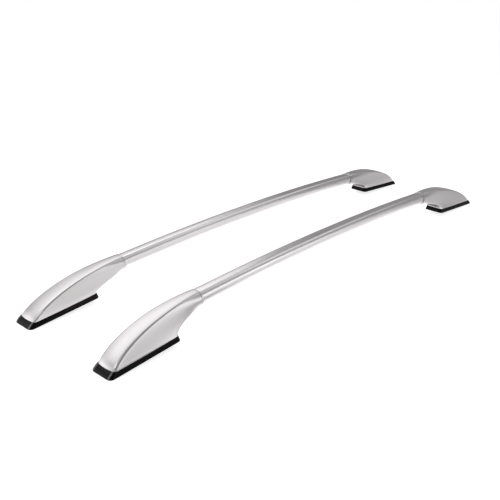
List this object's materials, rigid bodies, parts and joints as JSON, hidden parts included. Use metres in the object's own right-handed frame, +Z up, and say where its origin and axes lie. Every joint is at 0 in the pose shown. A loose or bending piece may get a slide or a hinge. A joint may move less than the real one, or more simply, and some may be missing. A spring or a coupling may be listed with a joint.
{
  "type": "pair of raised roof rails",
  "caption": "Raised roof side rails: arched silver tubes on moulded silver feet with black rubber pads, held down by bolts from below.",
  "frame": {"origin": "middle of the pair, on the plane that the noses of the four pads stand on", "axes": "+X along the rails towards their rear ends, +Y from the right rail to the left rail, +Z up"},
  "size_m": [1.5, 0.363, 0.1054],
  "materials": {
    "tube_silver": "satin anodised",
    "cover_silver": "satin silver paint",
    "pad_rubber": "moulded",
    "bracket_cast": "as cast",
    "insert_brass": "turned",
    "screw_steel": "zinc plated"
  },
  "bodies": {
    "root": {"right_tube": "tube_silver", "left_tube": "tube_silver", "front_right_cover": "cover_silver", "rear_right_cover": "cover_silver", "front_left_cover": "cover_silver", "rear_left_cover": "cover_silver", "front_right_pad": "pad_rubber", "rear_right_pad": "pad_rubber", "front_left_pad": "pad_rubber", "rear_left_pad": "pad_rubber", "front_right_bracket": "bracket_cast", "rear_right_bracket": "bracket_cast", "front_left_bracket": "bracket_cast", "rear_left_bracket": "bracket_cast", "front_right_roof_inserts": "insert_brass", "rear_right_roof_inserts": "insert_brass", "front_left_roof_inserts": "insert_brass", "rear_left_roof_inserts": "insert_brass", "front_right_cover_screws": "screw_steel", "rear_right_cover_screws": "screw_steel", "front_left_cover_screws": "screw_steel", "rear_left_cover_screws": "screw_steel", "front_right_tube_screws": "screw_steel", "rear_right_tube_screws": "screw_steel", "front_left_tube_screws": "screw_steel", "rear_left_tube_screws": "screw_steel"}
  },
  "joints": []
}
